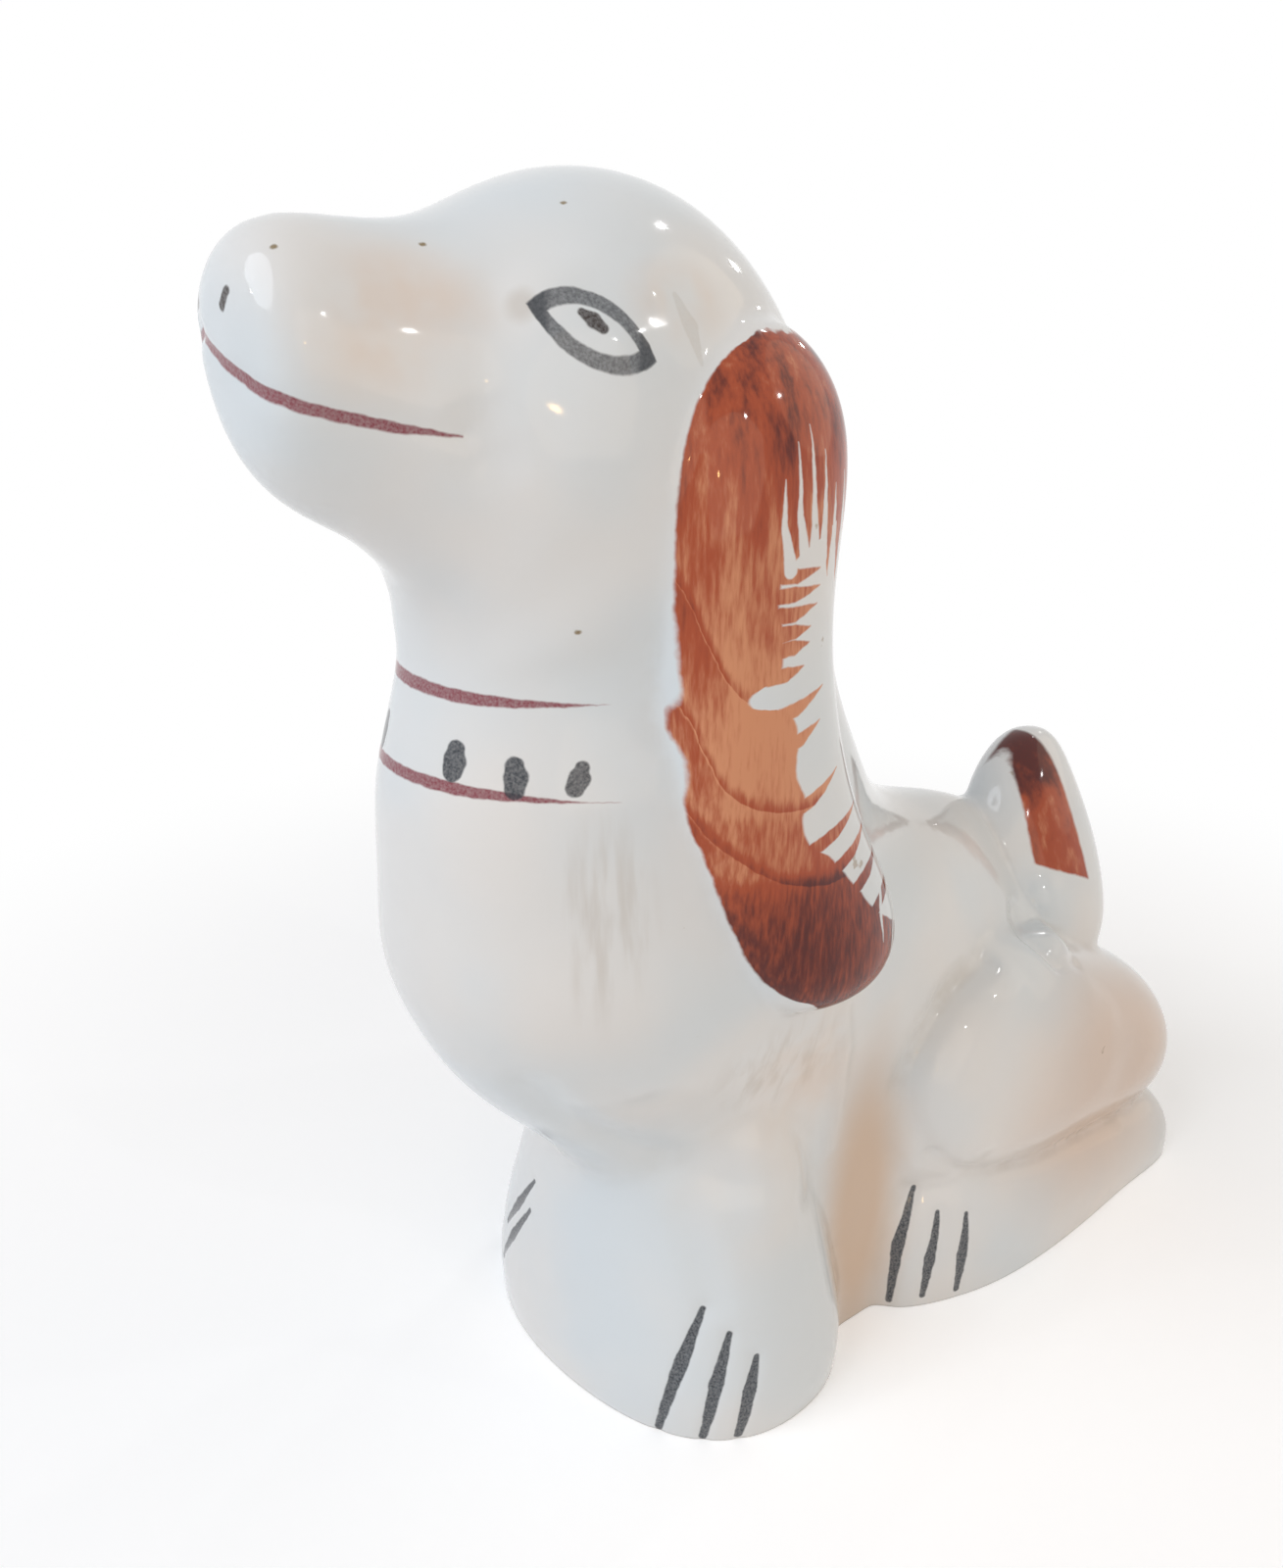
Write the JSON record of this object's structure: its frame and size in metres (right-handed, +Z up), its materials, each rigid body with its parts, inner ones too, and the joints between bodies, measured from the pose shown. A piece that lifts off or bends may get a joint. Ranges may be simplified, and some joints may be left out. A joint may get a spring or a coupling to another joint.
{
  "type": "seated spaniel figure",
  "caption": "Hollow glazed earthenware mantel ornament of a seated spaniel with long drooping ears, a stub tail and a flat base with a firing vent.",
  "frame": {"origin": "on the ground, in the middle of the figure's length and width", "axes": "+Z up, nose towards -Y, the dog's left side towards +X"},
  "size_m": [0.0702, 0.1554, 0.1653],
  "materials": {
    "glaze_white": "clear gloss glaze over cream-white earthenware",
    "glaze_rust": "rust-brown brushed colour under clear gloss glaze",
    "bare_clay": "unglazed cream biscuit clay, wiped before firing"
  },
  "bodies": {
    "root": {"left_body_shell": "glaze_white", "right_body_shell": "glaze_white", "left_ear": "glaze_rust", "right_ear": "glaze_rust", "tail": "glaze_white", "left_foreleg": "glaze_white", "right_foreleg": "glaze_white", "left_hind_foot": "glaze_white", "right_hind_foot": "glaze_white", "base_slab": "bare_clay"}
  },
  "joints": []
}
